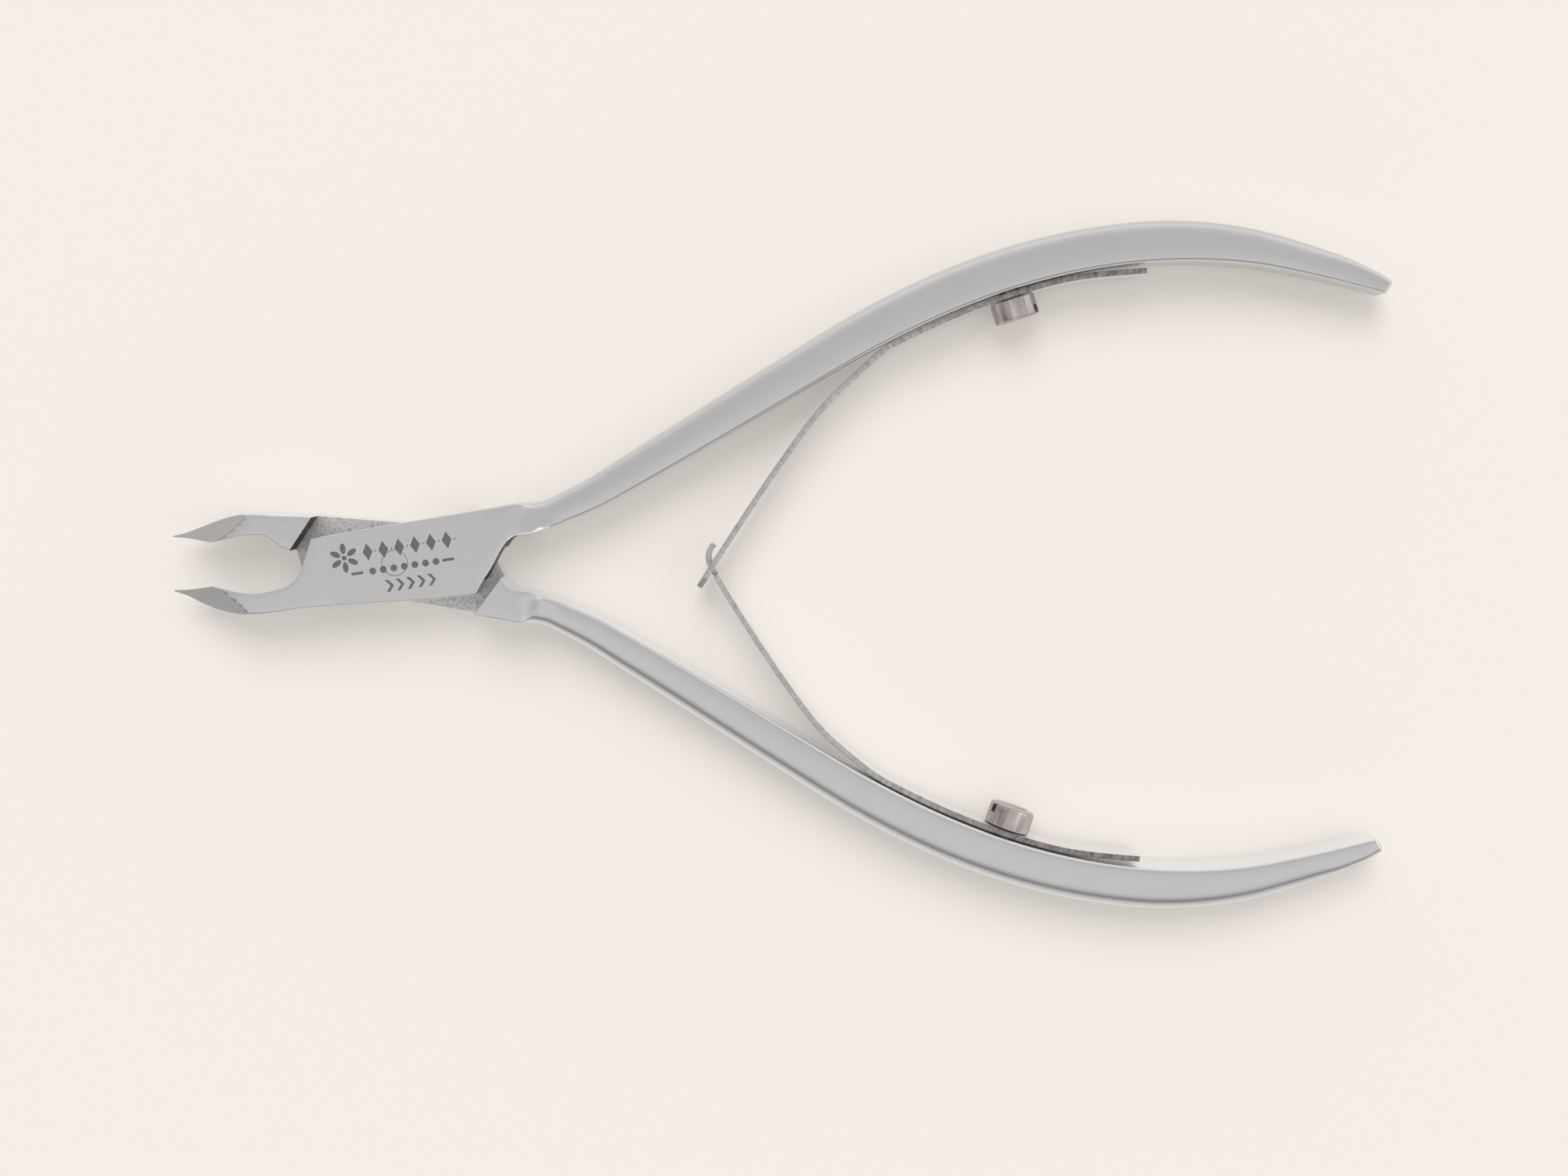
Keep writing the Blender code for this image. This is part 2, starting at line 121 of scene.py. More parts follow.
# Depth, crown and rounding of a half by its place along X, and the rings that close a handle's end:
# how far on from its last section each one lies, and its share of that section's size
NECK = (8, 24)
HANDLE_START = 10
LOW_FACE = ((-21.5, 1.2), (-13, 0), (12, 0), (16, 0.5), (24, 0.5), (48, 0), (72, 0), (93, 0.9))
NECK_FALL = {
    "outer": ((11.5, 0), (12.7, 0.38), (14.2, 0.5), (24, 0.5)),
    "inner": ((12.9, 0), (14.1, 0.38), (15.6, 0.5), (24, 0.5)),
}
CROWN = ((12, 0), (18, 0.03), (85, 0.03), (93, 0.01))
OUTER_ROUND = (
    (-20, 0.12), (-14, 0.3), (-9, 0.16), (8, 0.16), (9.5, 0.25), (11.8, 0.2), (13.4, 1.05), (20, 1.55),
    (85, 1.4), (93, 0.6),
)
INNER_ROUND = (
    (-20, 0.05), (-9, 0.16), (8, 0.16), (10, 0.26), (12, 0.26), (17, 0.35), (30, 0.5), (80, 0.45),
    (93, 0.3),
)
END_RINGS = ((0.14, 0.95), (0.26, 0.86), (0.36, 0.72), (0.42, 0.55))
ROUND_DEPTH = 0.8
ARC_STEPS = 7
FACE_STEPS = 4

# Leaf springs
LEAF_THICKNESS = 0.55
LEAF_WIDTH = 4.2
LEAF_STANDOFF = 0.12
LEAF_BASE = (46.0, 70.4)
LEAF_END_LIFT = 0.3
LEAF_EDGE_ROUND = 0.07
UPPER_BLADE = ((40.0, 14.7), (36.3, 9.75), (32.65, 4.3), (29.65, -0.4), (28.5, -2.25))
LOWER_BLADE = ((40.0, -15.5), (36.3, -10.7), (32.6, -5.2), (31.0, -2.65), (30.1, -1.15))
TONGUE = ((29.72, -0.55), (29.42, 0.05), (29.34, 0.7), (29.5, 1.3), (29.85, 1.8))
WINDOW_CENTRE = (29.57, -0.45)
WINDOW_LENGTH = 2.1
WINDOW_WIDTH = 2.2
WINDOW_ROUND = 0.45
TONGUE_WIDTH = 1.5
# Shares of the tongue's length: where it narrows from the blade, and where its tip rounds
TONGUE_NECK = 0.06
TONGUE_TIP = 0.05
BLADE_END_WIDTH = 3.4

# Spring screws
SCREW_X = 57.8
HEAD_DIAMETER = 4.3
HEAD_HEIGHT = 2.0
SLOT_WIDTH = 0.6
SLOT_DEPTH = 0.9
SLOT_FLARE = 0.12
SHANK_DIAMETER = 2.3
SHANK_REACH = 3.0
SCREW_CLEARANCE = 0.15
THREAD_PITCH = 0.45
THREAD_DEPTH = 0.2
SEAT_ROUND = 0.1
TOP_ROUND = 0.28
SLOT_TURN = {1: 32, -1: 28}

# Light tent: (share of the way from the far horizon over the top to the near one, level). The ramp
# is made with its two ends, so those come first. The tent's handle end is brighter by END_PANEL.
TENT_LEVELS = (
    (0.0, 0.6), (1.0, 0.46), (0.1, 0.57), (0.2, 0.48), (0.32, 0.42), (0.47, 0.385), (0.52, 0.45),
    (0.57, 0.545), (0.63, 0.5), (0.68, 0.4), (0.73, 0.25), (0.77, 0.14), (0.81, 0.15), (0.86, 0.34),
    (0.91, 0.48),
)
TENT_STRENGTH = 1.9
END_PANEL = 0.7
JAW_END_LEVEL = 0.6
KEY_STRENGTH = 1.65
KEY_SOFTNESS = 38.0
KEY_DIRECTION = (-0.1, 0.78, 1.0)

# Table, in metres
TABLE_GLOW = 0.272
TABLE_TONE = (0.525, 0.496, 0.464)
TABLE_SPAN = 1.5
TABLE_DROP = 0.00005

# Camera: its eye and aim in metres from the middle of the object's top
CAMERA_LENS = 46.573
CAMERA_SHIFT = -0.05
CAMERA_ROLL = 0.32
CAMERA_EYE = (-0.00103, 0.01226, 0.19)
CAMERA_AIM = (0.00036, 0.0052, 0)

# Etched mark: a plain ornament of petals, lozenges, dots between bars, and chevrons
MARK_TILT = 9.0
MARK_DEPTH = 0.03
FLOWER = (-4.6, 1.15)
PETALS = 6
LOZENGE_ROW = 1.4
DOT_ROW = -0.45
CHEVRON_ROW = -2.05


def along(table, x):
    """The value of a (place, value) table at x, eased between its rows."""
    for (x0, v0), (x1, v1) in zip(table, table[1:]):
        if x < x1:
            t = min(max((x - x0) / (x1 - x0), 0), 1)
            return v0 + (v1 - v0) * t * t * (3 - 2 * t)
    return table[-1][1]


def curve(points, count):
    """count points evenly spaced along a smooth curve through the given ones."""
    given = np.array(points, float)
    if len(given) > 2:
        ends = np.vstack([2 * given[0] - given[1], given, 2 * given[-1] - given[-2]])
        dense = []
        for p0, p1, p2, p3 in zip(ends, ends[1:], ends[2:], ends[3:]):
            for t in np.linspace(0, 1, 24, endpoint=False):
                dense.append(0.5 * (2 * p1 + (p2 - p0) * t + (2 * p0 - 5 * p1 + 4 * p2 - p3) * t**2
                                    + (3 * p1 - p0 - 3 * p2 + p3) * t**3))
        given = np.array([*dense, given[-1]])
    walked = np.concatenate([[0], np.cumsum(np.linalg.norm(np.diff(given, axis=0), axis=1))])
    wanted = np.linspace(0, walked[-1], count)
    return np.stack([np.interp(wanted, walked, given[:, i]) for i in (0, 1)], axis=1)


def left_of(points):
    """Unit vectors to the left of a course, one at each of its points."""
    steps = np.gradient(points, axis=0)
    steps /= np.linalg.norm(steps, axis=1)[:, None]
    return np.stack([-steps[:, 1], steps[:, 0]], axis=1)


def mesh_object(name, shape, *materials):
    """An object from a bmesh in millimetres."""
    shape.normal_update()
    bmesh.ops.recalc_face_normals(shape, faces=shape.faces)
    shape.transform(Matrix.Scale(MM, 4))
    mesh = bpy.data.meshes.new(name)
    shape.to_mesh(mesh)
    shape.free()
    for material in materials:
        mesh.materials.append(material)
    made = bpy.data.objects.new(name, mesh)
    bpy.context.collection.objects.link(made)
    return made


def skin(rings):
    """A closed surface through rings of equally many points. Its UV map runs along and around, in metres."""
    shape = bmesh.new()
    uv = shape.loops.layers.uv.new("grain")
    loops = [[shape.verts.new(point) for point in ring] for ring in rings]
    walked = 0
    for near, far in zip(loops, loops[1:]):
        step = (sum((v.co for v in far), Vector()) - sum((v.co for v in near), Vector())).length / len(near)
        around = 0
        for i in range(len(near)):
            j = (i + 1) % len(near)
            face = shape.faces.new((near[i], near[j], far[j], far[i]))
            width = (far[j].co - far[i].co).length
            corners = (
                (walked, around),
                (walked, around + width),
                (walked + step, around + width),
                (walked + step, around),
            )
            for loop, corner in zip(face.loops, corners):
                loop[uv].uv = [value * MM for value in corner]
            around += width
        walked += step
    shape.faces.new(reversed(loops[0]))
    shape.faces.new(loops[-1])
    return shape


def prism(outline, low, high):
    """An outline drawn out between two heights."""
    return skin([[(x, y, z) for x, y in outline] for z in (low, high)])


def rod(radius, start, end, steps=96):
    """A round bar between two points."""
    axis = Vector(end) - Vector(start)
    shape = bmesh.new()
    bmesh.ops.create_cone(
        shape, cap_ends=True, segments=steps, radius1=radius, radius2=radius, depth=axis.length)
    turn = axis.to_track_quat("Z", "Y").to_matrix().to_4x4()
    shape.transform(Matrix.Translation((Vector(start) + Vector(end)) / 2) @ turn)
    return shape


def slab_beyond(a, b, c, size=40, thickness=12):
    """A block whose lower face lies in the plane through three points, on the side its normal faces."""
    a, b, c = Vector(a), Vector(b), Vector(c)
    across = (b - a).normalized()
    up = across.cross(c - a).normalized()
    ahead = up.cross(across)
    shape = bmesh.new()
    bmesh.ops.create_cube(shape, size=1)
    axes = Matrix((across, ahead, up)).transposed().to_4x4()
    move = Matrix.Translation(a + up * thickness / 2)
    shape.transform(move @ axes @ Matrix.Diagonal((size, size, thickness, 1)))
    return shape


def cut(target, shape, material):
    """Cuts a shape out of the target. The cut's walls take the material."""
    cutter = mesh_object("cutter", shape, material)
    modifier = target.modifiers.new("cut", "BOOLEAN")
    modifier.object = cutter
    modifier.operation = "DIFFERENCE"
    modifier.solver = "EXACT"
    modifier.material_mode = "TRANSFER"
    graph = bpy.context.evaluated_depsgraph_get()
    result = bpy.data.meshes.new_from_object(
        target.evaluated_get(graph), preserve_all_data_layers=True, depsgraph=graph)
    target.modifiers.clear()
    target.data = result
    bpy.data.objects.remove(cutter, do_unlink=True)


def paint(target, look, chosen, among=None):
    """Gives a material to the faces whose centre, in millimetres, and normal are chosen.

    among says of each face whether it may be painted. Without it, all may.
    """
    mesh = target.data
    mesh.materials.append(look)
    for face in mesh.polygons:
        if (among is None or among[face.index]) and chosen(face.center / MM, face.normal):
            face.material_index = len(mesh.materials) - 1


def finished(target, sharp_angle=30):
    """Welds what a cut left doubled, and shades the flats flat and the rounds round."""
    shape = bmesh.new()
    shape.from_mesh(target.data)
    bmesh.ops.remove_doubles(shape, verts=shape.verts, dist=WELD)
    bmesh.ops.dissolve_degenerate(shape, edges=shape.edges, dist=WELD)
    shape.to_mesh(target.data)
    shape.free()
    target.data.shade_smooth()
    target.data.set_sharp_from_angle(angle=math.radians(sharp_angle))
    weighted = target.modifiers.new("face_weights", "WEIGHTED_NORMAL")
    weighted.keep_sharp = True
    weighted.weight = 90


# ---- the halves ----


def reach(distance, angle):
    """A point on the jaw's side at a distance from the rivet, below the bisector by an angle."""
    return (-distance * math.cos(math.radians(angle)), -distance * math.sin(math.radians(angle)))


def handle_sides(count):
    """(inner, outer) sides of the handle, from the neck to the end, for the half whose handle is at +Y."""
    outer = curve(HANDLE_OUTER, count)
    widths = np.interp(outer[:, 0], *curve(HANDLE_WIDTH, 400).T)
    return outer - left_of(outer) * widths[:, None], outer


def half_sides(side, lean):
    """Matched points down both sides of a half, from its tip to its handle's end, with the handle at +Y."""
    jaw_back, root = JAW_BACK[side], JAW_ROOT[side]
    tip = reach(TIP_REACH, EDGE_ANGLE)
    heel = reach(HEEL_REACH, EDGE_ANGLE)
    inner, outer = handle_sides(110)
    runs = (
        # the cutting edge, and the jaw's back
        ((tip, heel), ((tip[0] - 0.02, tip[1] - 0.1), *jaw_back[:3]), 18),
        # the hollow behind the heel
        ((heel, (-15.9, -2.36), (-14.6, -2.66), (-13.3, -2.77), (-12.2, -2.7), root[0]),
         (*jaw_back[2:], (-13.5, -4.74), (-12.3, -4.69), (-11.4, -4.58)), 30),
        # the root of the jaw and the plate's left edge
        (root, ((-11.4, -4.58), (-9.6, -4.4), (-7.6, -4.22), (-5.6, -4.07)), 36),
        # the plate's long edges
        ((root[-1], (-3.83, 3.0), (2.0, 3.97), (8.2, 5.03)),
         ((-5.6, -4.07), (0.0, -3.66), (4.08, -3.32), (7.62, -2.9)), 16),
        # the plate's right edge
        (((8.2, 5.03), (9.6, 5.3), (11.2, 5.58)),
         ((7.62, -2.9), (9.0, -0.45), (9.8, 1.05), (10.45, 2.05)), 16),
        # the neck, where the plate turns into the handle
        (((11.2, 5.58), (12.7, 5.62), outer[0]), ((10.45, 2.05), (11.3, 2.62), (12.8, 2.84), inner[0]), 18),
    )
    edge_side = np.vstack([*(curve(edge, count)[:-1] for edge, _, count in runs), outer])
    back_side = np.vstack([*(curve(back, count)[:-1] for _, back, count in runs), inner])
    for course in (edge_side, back_side):
        for point in course:
            angle = math.radians(lean * along(((-12.0, 1), (-8.0, 0)), point[0]))
            c, s = math.cos(angle), math.sin(angle)
            point[:] = c * point[0] - s * point[1], s * point[0] + c * point[1]
    return edge_side, back_side


def section(edge, back, relief, x):
    """One ring round a half: rounded at its four corners, and crowned on its faces."""
    low = along(LOW_FACE, x)
    crown = along(CROWN, x)
    low_edge = low_back = low
    if NECK[0] < x < NECK[1]:
        low_edge, low_back = along(NECK_FALL["outer"], edge[0]), along(NECK_FALL["inner"], back[0])
    in_handle = x > HANDLE_START
    edge_round = along(OUTER_ROUND if in_handle else INNER_ROUND, x)
    back_round = along(INNER_ROUND if in_handle else OUTER_ROUND, x)
    across = edge - back
    width = np.linalg.norm(across)
    across /= width
    edge_round = min(edge_round, 0.45 * width)
    back_round = min(back_round, 0.45 * width)
    corners = (
        (back, 1, low_back + crown, 1, back_round, 180),
        (edge - across * relief, -1, low_edge + crown, 1, edge_round, 270),
        (edge, -1, JOINT_DEPTH - low_edge - crown, -1, edge_round, 0),
        (back, 1, JOINT_DEPTH - low_back - crown, -1, back_round, 90),
    )
    arcs = []
    for point, inward, z, up, radius, start in corners:
        tall = radius * ROUND_DEPTH
        arc = []
        for step in range(ARC_STEPS + 1):
            angle = math.radians(start + 90 * step / ARC_STEPS)
            flat = point + across * (inward * radius + math.cos(angle) * radius)
            arc.append(np.array((flat[0], flat[1], z + up * tall + math.sin(angle) * tall)))
        arcs.append(arc)
    ring = []
    for index, lift in ((0, -crown), (1, 0), (2, crown), (3, 0)):
        ring += arcs[index]
        if index in (0, 2):
            start, end = arcs[index][-1], arcs[index + 1][0]
            for step in range(1, FACE_STEPS):
                t = step / FACE_STEPS
                ring.append(start + (end - start) * t + np.array((0, 0, lift * 4 * t * (1 - t))))
    return ring


def end_ring(ring, ahead, shrink):
    """A ring drawn in towards its centre and moved on past the handle's end."""
    points = np.array(ring)
    centre = points.mean(axis=0)
    onward = curve(HANDLE_OUTER, 60)
    onward = onward[-1] - onward[-2]
    onward /= np.linalg.norm(onward)
    moved = centre + (points - centre) * shrink
    moved[:, :2] += onward * ahead
    return moved


def recess(shoulders, low, high):
    """The space between two shoulders, cut well past the metal on both sides."""
    (left_low, left_high), (right_low, right_high) = [[Vector(point) for point in pair] for pair in shoulders]
    left = (left_high - left_low).normalized() * 4
    right = (right_high - right_low).normalized() * 4
    return prism((left_low - left, right_low - right, right_high + right, left_high + left), low, high)


def cut_facets(made, side, lean, material):
    """The ground facet on each face of the jaw, falling from the jaw's flat to the tip."""
    turn = Matrix.Rotation(math.radians(lean), 3, "Z")
    outline = (FACET_OUTER, FACET_INNER, reach(TIP_REACH, EDGE_ANGLE))
    places = [turn @ Vector((*point, 0)) for point in outline]
    for face in (1, -1):
        corners = []
        for place, is_tip in zip(places, (False, False, True)):
            height = EDGE_HEIGHT_AT_TIP if is_tip else JOINT_DEPTH - along(LOW_FACE, place.x)
            height = height if face > 0 else JOINT_DEPTH - height
            corners.append((place.x, place.y * side, height))
        if side * face < 0:
            corners[0], corners[1] = corners[1], corners[0]
        cut(made, slab_beyond(*corners), material)


def on_crotch_wall(centre, normal):
    """Whether a face is on the wall between the plate and the handle's neck, which is painted with shade."""
    return 8.3 < centre.x < 13 and abs(normal.z) < 0.3 and normal.y < 0.2 and centre.y < 3.6


def on_crotch_edge(centre, normal):
    """Whether a face is on the rounded edge above that wall."""
    return 8.6 < centre.x < 14.5 and 0.3 < normal.z < 0.92 and normal.y < 0.2 and centre.y < 3.8


def on_plate_edge(centre, normal):
    """Whether a face is on the plate's rounded lower edge."""
    return -6 < centre.x < 4 and 0.3 < normal.z < 0.85 and centre.y < -2.6


def on_shoulder(centre, normal):
    """Whether a face of the recess is on one of its shoulders."""
    return abs(normal.z) < 0.5 and 6 < centre.xy.length < 12


def on_far_floor(centre, normal):
    """Whether a face of the recess is on its floor, by the handle."""
    return abs(normal.z) >= 0.5 and centre.x > 5


def half(name, side, lean, looks):
    """A forged half. side is 1 for the half whose handle is at +Y and whose lap is the front one."""
    edge_side, back_side = half_sides(side, lean)
    tip_x = edge_side[0][0]
    heel_x = reach(HEEL_REACH, EDGE_ANGLE)[0]
    rings = []
    for edge, back in zip(edge_side, back_side):
        toward_heel = min(max((edge[0] - tip_x) / (heel_x - tip_x), 0), 1)
        fading = along(((heel_x, 1), (-11.0, 0)), edge[0])
        x = max(edge[0], back[0]) if edge[0] > NECK[0] else edge[0]
        rings.append(section(edge, back, EDGE_RELIEF * toward_heel * fading, x))
    last = rings[-1]
    for ahead, shrink in END_RINGS:
        rings.append(end_ring(last, ahead, shrink))
    if side < 0:
        rings = [[(x, -y, z) for x, y, z in ring] for ring in rings]
    limits = [corner / MM for corner in cad_box]
    rings = [np.clip(ring, *limits) for ring in rings]
    made = mesh_object(name + "_forging", skin(rings), looks["steel"])
    if side > 0:
        # painted shade: the crotch wall is painted near black
        paint(made, looks["shaded_wall"], on_crotch_wall)
        # painted highlights: the rounded edge above the crotch wall and the plate's lower edge are painted
        # near white
        paint(made, looks["edge"], on_crotch_edge)
        paint(made, looks["edge"], on_plate_edge)
    cut_facets(made, side, lean, looks["facet"])
    low, high = (-1, MIDDLE + LAP_GAP / 2) if side > 0 else (MIDDLE - LAP_GAP / 2, JOINT_DEPTH + 1)
    cut(made, recess(SHOULDERS[side], low, high), looks["recess"])
    cut(made, rod(RIVET_RADIUS + RIVET_FIT, (0, 0, -1), (0, 0, JOINT_DEPTH + 1)), looks["recess"])
    place, inward = screw_frame(side)
    start = place - inward * (SHANK_REACH + SCREW_CLEARANCE)
    cut(made, rod(SHANK_DIAMETER / 2 + SCREW_CLEARANCE / 2, start, place + inward * 3), looks["recess"])
    recessed = [material == looks["recess"] for material in made.data.materials]
    in_recess = [recessed[face.material_index] for face in made.data.polygons]
    # painted shade: the recess's shoulder walls are painted near black
    paint(made, looks["shaded_wall"], on_shoulder, in_recess)
    if side < 0:
        paint(made, looks["scraped"], on_far_floor, in_recess)
    return made


# ---- the springs and screws ----


def leaf_base_course(side, count):
    """The clamped stretch of a leaf, along the handle's inner wall, lifting off it at its end."""
    inner, _ = handle_sides(600)
    away = -left_of(inner)
    lift = np.array([LEAF_END_LIFT * along(((62.0, 0), (70.0, 1)), x) for x, _ in inner])
    course = inner + away * (LEAF_STANDOFF + LEAF_THICKNESS / 2 + lift)[:, None]
    course = course[(course[:, 0] > LEAF_BASE[0]) & (course[:, 0] < LEAF_BASE[1])]
    return curve(course, count) * (1, side)


def screw_frame(side):
    """(a point on the handle's inner wall at the screw, the direction into the hand space there)."""
    inner, _ = handle_sides(160)
    nearest = int(np.argmin(abs(inner[:, 0] - SCREW_X)))
    place, away = inner[nearest], -left_of(inner)[nearest]
    return Vector((place[0], place[1] * side, MIDDLE)), Vector((away[0], away[1] * side, 0))


def rounded_box(length, width, radius, steps):
    """An outline about the origin with round corners, each of so many steps."""
    outline = []
    for corner, (u, v) in enumerate(((-1, -1), (1, -1), (1, 1), (-1, 1))):
        for step in range(steps + 1):
            angle = math.radians(180 + 90 * corner + 90 * step / steps)
            outline.append((u * (length / 2 - radius) + math.cos(angle) * radius,
                            v * (width / 2 - radius) + math.sin(angle) * radius))
    return outline


def strip(course, widths):
    """A flat leaf on edge along a course, as wide in Z as widths says, its long edges eased."""
    rings = []
    for point, side, width in zip(course, left_of(course), widths):
        profile = rounded_box(LEAF_THICKNESS, width, LEAF_EDGE_ROUND, 2)
        rings.append([(*(point + side * u), MIDDLE + v) for u, v in profile])
    return skin(rings)


def window(free):
    """The round-cornered slot through the upper blade that the tongue hooks into."""
    nearest = int(np.argmin(np.linalg.norm(free - WINDOW_CENTRE, axis=1)))
    ahead = Vector((*(free[nearest + 4] - free[nearest]), 0)).normalized()
    across = Vector((-ahead.y, ahead.x, 0))
    axes = Matrix((ahead, Vector((0, 0, 1)), across)).transposed().to_4x4()
    shape = prism(rounded_box(WINDOW_LENGTH, WINDOW_WIDTH, WINDOW_ROUND, 6), -2, 2)
    shape.transform(Matrix.Translation((*WINDOW_CENTRE, MIDDLE)) @ axes)
    return shape


def spring(name, side, child, blade_points, end_points, look):
    """A whole leaf spring, clamped stretch and free blade in one strip that bends at the flex."""
    flex = Vector(FLEXES[child]) / MM
    base = leaf_base_course(side, 26)
    whole = curve([*blade_points[::-1], flex.xy, *base], 230)
    widths = [along(((30.0, BLADE_END_WIDTH), (40.0, LEAF_WIDTH)), x) for x, _ in whole]
    if end_points:
        tongue = curve([whole[0], *end_points], 40)[1:]
        walked = np.linspace(0, 1, len(tongue))
        shoulder = BLADE_END_WIDTH - TONGUE_WIDTH
        narrow = [TONGUE_WIDTH + shoulder * max(0, 1 - t / TONGUE_NECK) ** 2 for t in walked]
        tip = [max(0, (t - (1 - TONGUE_TIP)) / TONGUE_TIP) for t in walked]
        narrow = [width * (1 - 0.25 * share ** 2) for width, share in zip(narrow, tip)]
        whole = np.vstack([tongue[::-1], whole])
        widths = [*narrow[::-1], *widths]
    else:
        rounding = [1 - 0.3 * max(0, 1 - index / 6) ** 2 for index in range(len(whole))]
        widths = [width * share for width, share in zip(widths, rounding)]
    made = mesh_object(name, strip(whole, widths), look)
    place, inward = screw_frame(side)
    cut(made, rod(SHANK_DIAMETER / 2 + SCREW_CLEARANCE, place - inward, place + inward * 3, 48), look)
    if not end_points:
        cut(made, window(whole), look)
    finished(made)
    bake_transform(made)
    prefix = child.removesuffix("_blade")
    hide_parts(prefix + "_base", prefix + "_blade")


def turned(profile, steps=96):
    """A solid of revolution about Z from (radius, height) points that start and end on the axis."""
    turns = [2 * math.pi * i / steps for i in range(steps)]
    return skin([[(radius * math.cos(turn), radius * math.sin(turn), height) for turn in turns]
                 for radius, height in profile[1:-1]])


def arc_points(centre, radius, start, end, steps):
    """Points of an arc in a profile, angles in degrees."""
    angles = np.radians(np.linspace(start, end, steps + 1))
    return [(centre[0] + radius * math.cos(a), centre[1] + radius * math.sin(a)) for a in angles]


def screw(name, side, look):
    """A slotted cheese-head screw with a threaded shank."""
    place, inward = screw_frame(side)
    seat = LEAF_STANDOFF * 2 + LEAF_THICKNESS
    rim, top = HEAD_DIAMETER / 2, seat + HEAD_HEIGHT
    crest = SHANK_DIAMETER / 2
    root = crest - THREAD_DEPTH
    thread = []
    height = -SHANK_REACH + 0.3
    while height < -0.1:
        ridge = height + THREAD_PITCH / 2
        thread += [(root, height), (crest, ridge - 0.05 * THREAD_PITCH), (crest, ridge + 0.05 * THREAD_PITCH)]
        height += THREAD_PITCH
    profile = [
        (0, -SHANK_REACH), (root - 0.15, -SHANK_REACH), *thread, (root, height), (root, seat - 0.05),
        (root + 0.1, seat), (rim - SEAT_ROUND, seat),
        *arc_points((rim - SEAT_ROUND, seat + SEAT_ROUND), SEAT_ROUND, -90, 0, 4),
        *arc_points((rim - TOP_ROUND, top - TOP_ROUND), TOP_ROUND, 0, 90, 8), (rim * 0.6, top), (0, top),
    ]
    shape = turned(profile)
    lengthwise = Vector((0, 0, 1)).cross(inward)
    axes = Matrix((lengthwise, Vector((0, 0, 1)), inward)).transposed()
    if axes.determinant() < 0:
        axes = Matrix((-lengthwise, Vector((0, 0, 1)), inward)).transposed()
    shape.transform(Matrix.Translation(place) @ axes.to_4x4())
    made = mesh_object(name + "_turned", shape, look)
    wall, flare = SLOT_WIDTH / 2, SLOT_WIDTH / 2 + SLOT_FLARE
    outline = ((-wall, -SLOT_DEPTH), (wall, -SLOT_DEPTH), (wall, -0.1), (flare, 0.02), (flare, 0.5),
               (-flare, 0.5), (-flare, 0.02), (-wall, -0.1))
    slot = skin([[(x, y, z) for y, z in outline] for x in (-HEAD_DIAMETER, HEAD_DIAMETER)])
    turn = Matrix.Rotation(math.radians(SLOT_TURN[side]), 4, "Z")
    slot.transform(Matrix.Translation(place + inward * top) @ axes.to_4x4() @ turn)
    cut(made, slot, look)
    finished(made)
    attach(made, "front_half" if side > 0 else "back_half")
    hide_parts(name)


# ---- the etched mark ----


def disc(centre, radius, steps):
    """A round outline."""
    return [(centre[0] + radius * math.cos(2 * math.pi * i / steps),
             centre[1] + radius * math.sin(2 * math.pi * i / steps)) for i in range(steps)]


def lozenge(x, y, wide, tall):
    """A four-cornered outline, given half its width and half its height."""
    return [(x - wide, y), (x, y - tall), (x + wide, y), (x, y + tall)]


def petal(turn, middle=0.88, length=0.5, width=0.26):
    """An oval outline out from the flower's heart at an angle."""
    c, s = math.cos(turn), math.sin(turn)
    outline = []
    for t in np.linspace(0, 2 * math.pi, 14, endpoint=False):
        u, v = middle + length * math.cos(t), width * math.sin(t)
        outline.append((FLOWER[0] + u * c - v * s, FLOWER[1] + u * s + v * c))
    return outline


def mark_outlines():
    """A sprig of petals, a row of lozenges, a row of dots between bars, and a row of chevrons."""
    outlines = [petal(math.radians(360 / PETALS * index + 30)) for index in range(PETALS)]
    outlines.append(disc(FLOWER, 0.24, 12))
    for index in range(6):
        x = -2.35 + 1.5 * index
        outlines.append(lozenge(x, LOZENGE_ROW, 0.46, 0.8))
        outlines.append(lozenge(x + 0.75, LOZENGE_ROW, 0.07, 0.1))
    for index in range(7):
        outlines.append(disc((-2.15 + index, DOT_ROW), 0.32, 20))
    for left in (-4.15, 4.45):
        low, high = DOT_ROW - 0.12, DOT_ROW + 0.12
        outlines.append([(left, low), (left + 1.1, low), (left + 1.1, high), (left, high)])
    low, high = CHEVRON_ROW - 0.55, CHEVRON_ROW + 0.55
    for index in range(5):
        left = -1.15 + index
        outlines.append([(left, low), (left + 0.3, low), (left + 0.75, CHEVRON_ROW),
                         (left + 0.3, high), (left, high), (left + 0.45, CHEVRON_ROW)])
    return outlines


def mark_cutter():
    """The mark's outlines as prisms that dip just under the plate's face."""
    shape = bmesh.new()
    for outline in mark_outlines():
        piece = prism(outline, JOINT_DEPTH - MARK_DEPTH, JOINT_DEPTH + 1)
        mesh = bpy.data.meshes.new("mark")
        piece.to_mesh(mesh)
        piece.free()
        shape.from_mesh(mesh)
        bpy.data.meshes.remove(mesh)
    shape.transform(Matrix.Rotation(math.radians(MARK_TILT), 4, "Z"))
    return shape


# ---- materials ----

# The width over which an edge shades round, in metres, and the way the lap's floor was scraped,
# which is close to the way its shoulder runs
EDGE_EASE = 0.00006
SHOULDER_TURN = -math.atan2(2.99, 2.26)


